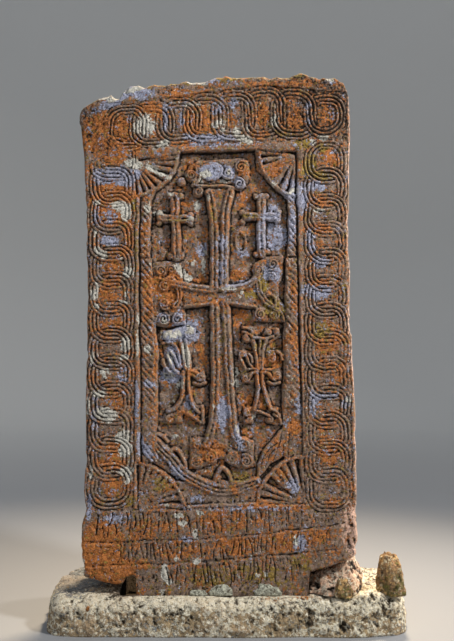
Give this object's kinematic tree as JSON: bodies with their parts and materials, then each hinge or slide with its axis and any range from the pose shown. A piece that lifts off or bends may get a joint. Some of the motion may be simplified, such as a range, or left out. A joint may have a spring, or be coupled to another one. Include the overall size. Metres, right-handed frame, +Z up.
{
  "type": "carved cross stone",
  "caption": "Tall weathered stone slab with a carved cross panel and knotwork border, its tenon set in a rough base stone, with mortar and loose stones packed beside it.",
  "frame": {"origin": "middle of the base stone's flat underside", "axes": "+X to the right of someone facing the carving, +Y to the back, +Z up"},
  "size_m": [1.096, 0.43, 1.671],
  "materials": {
    "lichened_slab": "rough weathered stone with orange and grey lichen",
    "pale_base_stone": "rough pitted pale stone",
    "lime_mortar": "rough lime mortar",
    "mossy_stone": "rough field stone with moss"
  },
  "bodies": {
    "root": {"carved_slab": "lichened_slab", "base_stone": "pale_base_stone", "mortar_bed": "lime_mortar", "small_packing_stone": "mossy_stone", "large_packing_stone": "mossy_stone"}
  },
  "joints": []
}
